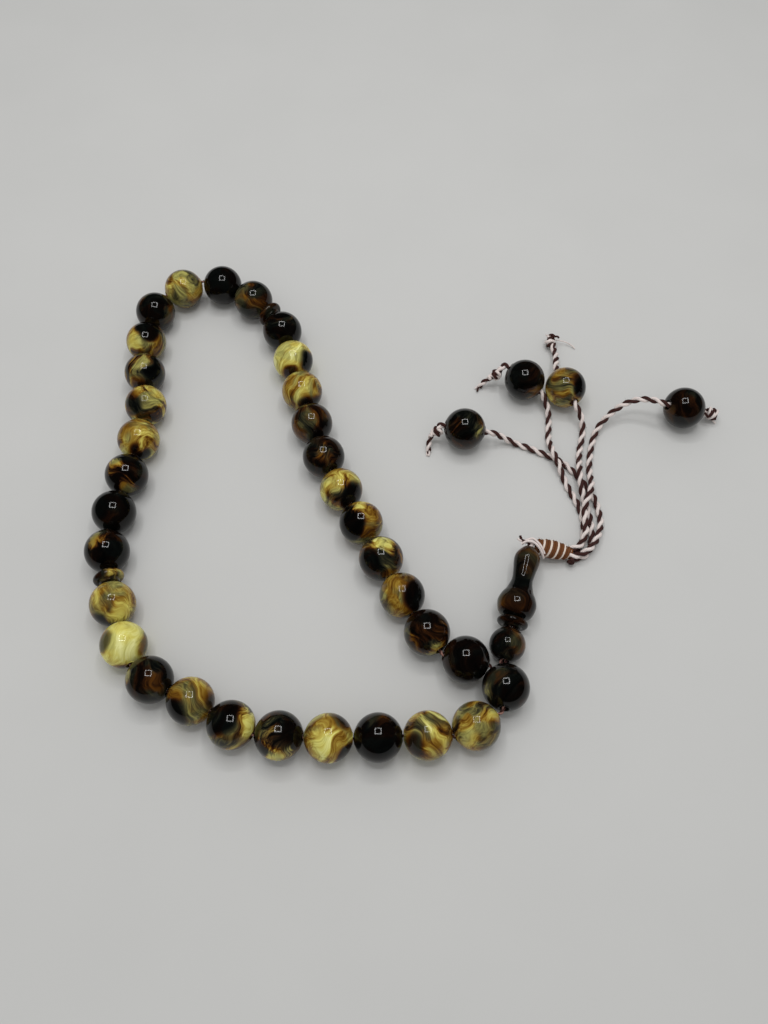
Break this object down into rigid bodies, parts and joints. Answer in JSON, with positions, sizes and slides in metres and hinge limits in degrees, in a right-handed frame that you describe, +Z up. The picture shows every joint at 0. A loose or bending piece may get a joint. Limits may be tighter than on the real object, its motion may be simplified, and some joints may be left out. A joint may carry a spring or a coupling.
{
  "type": "prayer beads",
  "caption": "String of round marbled resin beads in groups parted by discs, closed by a ball and turned tower, with a tassel of twisted cords that end in beads.",
  "frame": {"origin": "on the surface it lies on, under the middle of the box around the beads, tower and wrapped knot", "axes": "+Z up from the surface, +X across the loop towards the tassel, +Y away from the tower's ball towards the far turn of the loop"},
  "size_m": [0.1505, 0.1311, 0.01],
  "materials": {
    "bead_resin": "polished marbled resin in black-brown, amber and cream",
    "disc_resin": "polished dark brown resin",
    "tower_resin": "polished dark brown and olive resin",
    "string": "twisted thread",
    "wrapping": "wound brown and white cord",
    "tassel_cord": "two-ply twist of dark brown and white"
  },
  "bodies": {
    "string": {"loop_string": "string"},
    "tassel": {"wrapped_knot": "wrapping", "tassel_cord_1": "tassel_cord", "tassel_cord_2": "tassel_cord", "tassel_cord_3": "tassel_cord", "tassel_cord_4": "tassel_cord", "end_knot_1": "tassel_cord", "end_knot_2": "tassel_cord", "end_knot_3": "tassel_cord", "end_knot_4": "tassel_cord"},
    "tassel_bead_1": {"tassel_bead_1": "bead_resin"},
    "tassel_bead_2": {"tassel_bead_2": "bead_resin"},
    "tassel_bead_3": {"tassel_bead_3": "bead_resin"},
    "tassel_bead_4": {"tassel_bead_4": "bead_resin"},
    "tower": {"tower": "tower_resin"},
    "collar": {"collar": "disc_resin"},
    "ball": {"ball": "tower_resin"},
    "separator_disc_1": {"separator_disc_1": "disc_resin"},
    "separator_disc_2": {"separator_disc_2": "disc_resin"},
    "bead_01": {"bead_01": "bead_resin"},
    "bead_02": {"bead_02": "bead_resin"},
    "bead_03": {"bead_03": "bead_resin"},
    "bead_04": {"bead_04": "bead_resin"},
    "bead_05": {"bead_05": "bead_resin"},
    "bead_06": {"bead_06": "bead_resin"},
    "bead_07": {"bead_07": "bead_resin"},
    "bead_08": {"bead_08": "bead_resin"},
    "bead_09": {"bead_09": "bead_resin"},
    "bead_10": {"bead_10": "bead_resin"},
    "bead_11": {"bead_11": "bead_resin"},
    "bead_12": {"bead_12": "bead_resin"},
    "bead_13": {"bead_13": "bead_resin"},
    "bead_14": {"bead_14": "bead_resin"},
    "bead_15": {"bead_15": "bead_resin"},
    "bead_16": {"bead_16": "bead_resin"},
    "bead_17": {"bead_17": "bead_resin"},
    "bead_18": {"bead_18": "bead_resin"},
    "bead_19": {"bead_19": "bead_resin"},
    "bead_20": {"bead_20": "bead_resin"},
    "bead_21": {"bead_21": "bead_resin"},
    "bead_22": {"bead_22": "bead_resin"},
    "bead_23": {"bead_23": "bead_resin"},
    "bead_24": {"bead_24": "bead_resin"},
    "bead_25": {"bead_25": "bead_resin"},
    "bead_26": {"bead_26": "bead_resin"},
    "bead_27": {"bead_27": "bead_resin"},
    "bead_28": {"bead_28": "bead_resin"},
    "bead_29": {"bead_29": "bead_resin"},
    "bead_30": {"bead_30": "bead_resin"},
    "bead_31": {"bead_31": "bead_resin"},
    "bead_32": {"bead_32": "bead_resin"},
    "bead_33": {"bead_33": "bead_resin"}
  },
  "joints": [
    {"name": "tassel_swing", "type": "hinge", "parent": "string", "child": "tassel", "pos_m": [0.0273, -0.01694, 0.00494], "axis": [0, 0, 1], "range_deg": [-15, 30]},
    {"name": "tassel_bead_1_spin", "type": "hinge", "parent": "tassel", "child": "tassel_bead_1", "pos_m": [0.0138, 0.0144, 0.005], "axis": [0.9891, -0.104, -0.1045], "continuous": true},
    {"name": "tassel_bead_2_spin", "type": "hinge", "parent": "tassel", "child": "tassel_bead_2", "pos_m": [0.0295, 0.0292, 0.005], "axis": [0.7735, -0.6043, -0.1908], "continuous": true},
    {"name": "tassel_bead_3_spin", "type": "hinge", "parent": "tassel", "child": "tassel_bead_3", "pos_m": [0.0395, 0.0268, 0.005], "axis": [0.342, -0.9397, 0], "continuous": true},
    {"name": "tassel_bead_4_spin", "type": "hinge", "parent": "tassel", "child": "tassel_bead_4", "pos_m": [0.0681, 0.0206, 0.005], "axis": [-0.9374, -0.0655, 0.342], "continuous": true},
    {"name": "tower_spin", "type": "hinge", "parent": "string", "child": "tower", "pos_m": [0.0206, -0.0403, 0.0039], "axis": [0.2754, 0.9604, 0.0429], "continuous": true},
    {"name": "collar_spin", "type": "hinge", "parent": "string", "child": "collar", "pos_m": [0.0206, -0.0403, 0.0039], "axis": [0.2754, 0.9604, 0.0429], "continuous": true},
    {"name": "ball_spin", "type": "hinge", "parent": "string", "child": "ball", "pos_m": [0.0206, -0.0403, 0.0039], "axis": [0.2754, 0.9604, 0.0429], "continuous": true},
    {"name": "separator_disc_1_spin", "type": "hinge", "parent": "string", "child": "separator_disc_1", "pos_m": [-0.06671, -0.02516, 0.005], "axis": [-0.3613, 0.9324, 0], "continuous": true},
    {"name": "separator_disc_2_spin", "type": "hinge", "parent": "string", "child": "separator_disc_2", "pos_m": [-0.03573, 0.05048, 0.005], "axis": [0.7068, -0.7074, 0], "continuous": true},
    {"name": "bead_01_spin", "type": "hinge", "parent": "string", "child": "bead_01", "pos_m": [0.0195, -0.05, 0.005], "axis": [-0.1613, -0.9712, 0.1754], "continuous": true},
    {"name": "bead_02_spin", "type": "hinge", "parent": "string", "child": "bead_02", "pos_m": [0.01295, -0.05803, 0.005], "axis": [-0.8959, -0.4369, -0.0803], "continuous": true},
    {"name": "bead_03_spin", "type": "hinge", "parent": "string", "child": "bead_03", "pos_m": [0.00308, -0.05999, 0.005], "axis": [-0.9994, 0.0045, 0.0335], "continuous": true},
    {"name": "bead_04_spin", "type": "hinge", "parent": "string", "child": "bead_04", "pos_m": [-0.00697, -0.06041, 0.005], "axis": [-0.9984, -0.0557, -0.0107], "continuous": true},
    {"name": "bead_05_spin", "type": "hinge", "parent": "string", "child": "bead_05", "pos_m": [-0.01703, -0.0605, 0.005], "axis": [-0.9996, 0.0294, 0.0024], "continuous": true},
    {"name": "bead_06_spin", "type": "hinge", "parent": "string", "child": "bead_06", "pos_m": [-0.02707, -0.05999, 0.005], "axis": [-0.9989, 0.0474, -0.0003], "continuous": true},
    {"name": "bead_07_spin", "type": "hinge", "parent": "string", "child": "bead_07", "pos_m": [-0.0369, -0.05783, 0.005], "axis": [-0.8999, 0.4361, 0], "continuous": true},
    {"name": "bead_08_spin", "type": "hinge", "parent": "string", "child": "bead_08", "pos_m": [-0.04567, -0.05291, 0.005], "axis": [-0.8888, 0.4583, 0], "continuous": true},
    {"name": "bead_09_spin", "type": "hinge", "parent": "string", "child": "bead_09", "pos_m": [-0.05465, -0.04838, 0.005], "axis": [-0.8494, 0.5278, 0], "continuous": true},
    {"name": "bead_10_spin", "type": "hinge", "parent": "string", "child": "bead_10", "pos_m": [-0.06117, -0.04071, 0.005], "axis": [-0.4397, 0.8982, 0], "continuous": true},
    {"name": "bead_11_spin", "type": "hinge", "parent": "string", "child": "bead_11", "pos_m": [-0.06488, -0.03136, 0.005], "axis": [-0.2758, 0.9612, 0], "continuous": true},
    {"name": "bead_12_spin", "type": "hinge", "parent": "string", "child": "bead_12", "pos_m": [-0.06804, -0.01864, 0.005], "axis": [-0.131, 0.9914, 0], "continuous": true},
    {"name": "bead_13_spin", "type": "hinge", "parent": "string", "child": "bead_13", "pos_m": [-0.06796, -0.00858, 0.005], "axis": [0.1313, 0.9913, 0], "continuous": true},
    {"name": "bead_14_spin", "type": "hinge", "parent": "string", "child": "bead_14", "pos_m": [-0.06644, 0.00136, 0.005], "axis": [0.1686, 0.9857, 0], "continuous": true},
    {"name": "bead_15_spin", "type": "hinge", "parent": "string", "child": "bead_15", "pos_m": [-0.06497, 0.01132, 0.005], "axis": [0.141, 0.99, 0], "continuous": true},
    {"name": "bead_16_spin", "type": "hinge", "parent": "string", "child": "bead_16", "pos_m": [-0.06453, 0.02137, 0.005], "axis": [-0.0845, 0.9964, 0], "continuous": true},
    {"name": "bead_17_spin", "type": "hinge", "parent": "string", "child": "bead_17", "pos_m": [-0.06604, 0.03131, 0.005], "axis": [-0.1764, 0.9843, 0], "continuous": true},
    {"name": "bead_18_spin", "type": "hinge", "parent": "string", "child": "bead_18", "pos_m": [-0.067, 0.04133, 0.005], "axis": [-0.0552, 0.9985, 0], "continuous": true},
    {"name": "bead_19_spin", "type": "hinge", "parent": "string", "child": "bead_19", "pos_m": [-0.06585, 0.05132, 0.005], "axis": [0.3276, 0.9448, 0], "continuous": true},
    {"name": "bead_20_spin", "type": "hinge", "parent": "string", "child": "bead_20", "pos_m": [-0.05928, 0.05933, 0.005], "axis": [0.8714, 0.4905, 0], "continuous": true},
    {"name": "bead_21_spin", "type": "hinge", "parent": "string", "child": "bead_21", "pos_m": [-0.049, 0.0606, 0.005], "axis": [0.9682, -0.2502, 0], "continuous": true},
    {"name": "bead_22_spin", "type": "hinge", "parent": "string", "child": "bead_22", "pos_m": [-0.0404, 0.05538, 0.005], "axis": [0.6921, -0.7218, 0], "continuous": true},
    {"name": "bead_23_spin", "type": "hinge", "parent": "string", "child": "bead_23", "pos_m": [-0.03218, 0.04485, 0.005], "axis": [0.4483, -0.8939, 0], "continuous": true},
    {"name": "bead_24_spin", "type": "hinge", "parent": "string", "child": "bead_24", "pos_m": [-0.02889, 0.03534, 0.005], "axis": [0.2334, -0.9724, 0], "continuous": true},
    {"name": "bead_25_spin", "type": "hinge", "parent": "string", "child": "bead_25", "pos_m": [-0.0262, 0.02565, 0.005], "axis": [0.2871, -0.9579, 0], "continuous": true},
    {"name": "bead_26_spin", "type": "hinge", "parent": "string", "child": "bead_26", "pos_m": [-0.02337, 0.016, 0.005], "axis": [0.2742, -0.9617, 0], "continuous": true},
    {"name": "bead_27_spin", "type": "hinge", "parent": "string", "child": "bead_27", "pos_m": [-0.02018, 0.00646, 0.005], "axis": [0.3684, -0.9297, 0], "continuous": true},
    {"name": "bead_28_spin", "type": "hinge", "parent": "string", "child": "bead_28", "pos_m": [-0.01581, -0.00261, 0.005], "axis": [0.4905, -0.8715, 0.0003], "continuous": true},
    {"name": "bead_29_spin", "type": "hinge", "parent": "string", "child": "bead_29", "pos_m": [-0.01102, -0.01145, 0.005], "axis": [0.4608, -0.8875, -0.0021], "continuous": true},
    {"name": "bead_30_spin", "type": "hinge", "parent": "string", "child": "bead_30", "pos_m": [-0.00645, -0.02041, 0.005], "axis": [0.4527, -0.8916, 0.0094], "continuous": true},
    {"name": "bead_31_spin", "type": "hinge", "parent": "string", "child": "bead_31", "pos_m": [-0.00182, -0.02934, 0.005], "axis": [0.4722, -0.881, -0.0295], "continuous": true},
    {"name": "bead_32_spin", "type": "hinge", "parent": "string", "child": "bead_32", "pos_m": [0.00342, -0.03793, 0.005], "axis": [0.5426, -0.8372, 0.0685], "continuous": true},
    {"name": "bead_33_spin", "type": "hinge", "parent": "string", "child": "bead_33", "pos_m": [0.01146, -0.04397, 0.005], "axis": [0.9798, -0.1418, -0.1408], "continuous": true}
  ]
}
